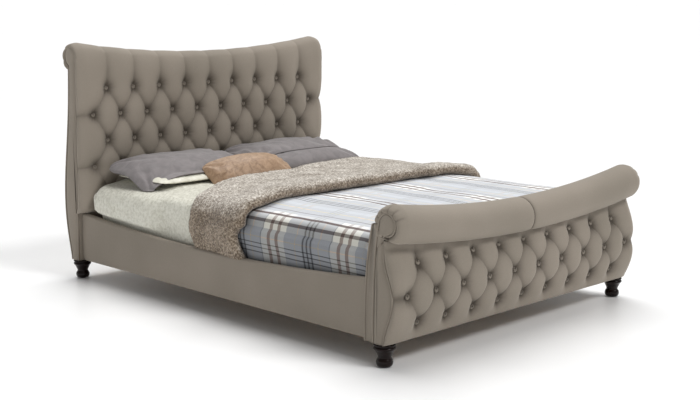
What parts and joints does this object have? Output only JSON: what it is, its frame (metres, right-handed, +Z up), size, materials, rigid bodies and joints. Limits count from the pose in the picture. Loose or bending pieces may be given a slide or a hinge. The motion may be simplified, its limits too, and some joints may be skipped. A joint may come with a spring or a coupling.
{
  "type": "sleigh bed",
  "caption": "Upholstered sleigh bed with scrolled, deep-buttoned headboard and footboard, padded side rails, turned feet and a sprung slat base, dressed with mattress and bedding.",
  "frame": {"origin": "on the floor, under the middle of the bed's overall box", "axes": "+Z up, +Y from the footboard to the headboard, +X to the right seen from the foot end"},
  "size_m": [1.698, 2.3744, 1.2169],
  "materials": {
    "velvet": "brushed velvet, matte",
    "plywood": "unfinished plywood",
    "softwood": "planed softwood",
    "beech_slats": "laminated beech, satin",
    "turned_wood": "dark stain, gloss lacquer",
    "black_plastic": "moulded, matte",
    "black_steel": "black powder coat",
    "zinc_steel": "bright zinc",
    "mattress_ticking": "woven damask",
    "cream_fleece": "curly pile",
    "plaid_cotton": "brushed cotton, printed check",
    "brown_fleece": "curly pile with light tips",
    "grey_cotton": "plain cotton",
    "cream_cotton": "plain cotton",
    "copper_satin": "crinkled satin"
  },
  "bodies": {
    "bed_frame": {"headboard_core": "plywood", "headboard_ribs": "plywood", "headboard_batten": "softwood", "headboard_roll_pole": "softwood", "headboard_roll": "velvet", "headboard_front_pad": "velvet", "headboard_lower_cover": "velvet", "headboard_back_cover": "velvet", "headboard_facing_left": "velvet", "headboard_facing_right": "velvet", "headboard_piping_left": "velvet", "headboard_piping_right": "velvet", "headboard_buttons": "velvet", "headboard_foot_left": "turned_wood", "headboard_foot_right": "turned_wood", "footboard_core": "plywood", "footboard_ribs": "plywood", "footboard_batten": "softwood", "footboard_roll_pole": "softwood", "footboard_roll_left": "velvet", "footboard_roll_right": "velvet", "footboard_outer_pad": "velvet", "footboard_inner_pad": "velvet", "footboard_facing_left": "velvet", "footboard_facing_right": "velvet", "footboard_piping_left": "velvet", "footboard_piping_right": "velvet", "footboard_buttons": "velvet", "footboard_foot_left": "turned_wood", "footboard_foot_right": "turned_wood", "side_rail_board_left": "softwood", "side_rail_board_right": "softwood", "side_rail_cover_left": "velvet", "side_rail_cover_right": "velvet", "slat_ledge_left": "softwood", "slat_ledge_right": "softwood", "corner_brackets": "black_steel", "bracket_bolts": "zinc_steel", "centre_rail": "softwood", "centre_rail_shoes": "black_steel", "centre_legs": "black_steel", "slats_left": "beech_slats", "slats_right": "beech_slats", "slat_caps_outer": "black_plastic", "slat_caps_centre": "black_plastic", "foot_studs": "zinc_steel", "foot_glides": "black_plastic"},
    "bedding": {"mattress": "mattress_ticking", "underblanket": "cream_fleece", "plaid_duvet": "plaid_cotton", "fleece_throw": "brown_fleece"},
    "lower_pillow_left": {"pillow_left_lower": "cream_cotton"},
    "upper_pillow_left": {"pillow_left_upper": "grey_cotton"},
    "lower_pillow_right": {"pillow_right_lower": "grey_cotton"},
    "upper_pillow_right": {"pillow_right_upper": "grey_cotton"},
    "scatter_cushion": {"cushion": "copper_satin"},
    "leveller_foot_end": {"leveller_foot": "black_plastic"},
    "leveller_centre": {"leveller_middle": "black_plastic"},
    "leveller_head_end": {"leveller_head": "black_plastic"}
  },
  "joints": [
    {"name": "mattress_lift", "type": "slide", "parent": "bed_frame", "child": "bedding", "axis": [0, 0, 1], "range_m": [0, 0.5]},
    {"name": "lower_pillow_left_lift", "type": "slide", "parent": "bedding", "child": "lower_pillow_left", "axis": [0, 0, 1], "range_m": [0, 0.3]},
    {"name": "upper_pillow_left_lift", "type": "slide", "parent": "lower_pillow_left", "child": "upper_pillow_left", "axis": [0, 0, 1], "range_m": [0, 0.3]},
    {"name": "lower_pillow_right_lift", "type": "slide", "parent": "bedding", "child": "lower_pillow_right", "axis": [0, 0, 1], "range_m": [0, 0.3]},
    {"name": "upper_pillow_right_lift", "type": "slide", "parent": "lower_pillow_right", "child": "upper_pillow_right", "axis": [0, 0, 1], "range_m": [0, 0.3]},
    {"name": "cushion_lift", "type": "slide", "parent": "bedding", "child": "scatter_cushion", "axis": [0, 0, 1], "range_m": [0, 0.3]},
    {"name": "leveller_foot_screw", "type": "slide", "parent": "bed_frame", "child": "leveller_foot_end", "axis": [0, 0, 1], "range_m": [0, 0.012]},
    {"name": "leveller_centre_screw", "type": "slide", "parent": "bed_frame", "child": "leveller_centre", "axis": [0, 0, 1], "range_m": [0, 0.012]},
    {"name": "leveller_head_screw", "type": "slide", "parent": "bed_frame", "child": "leveller_head_end", "axis": [0, 0, 1], "range_m": [0, 0.012]}
  ]
}
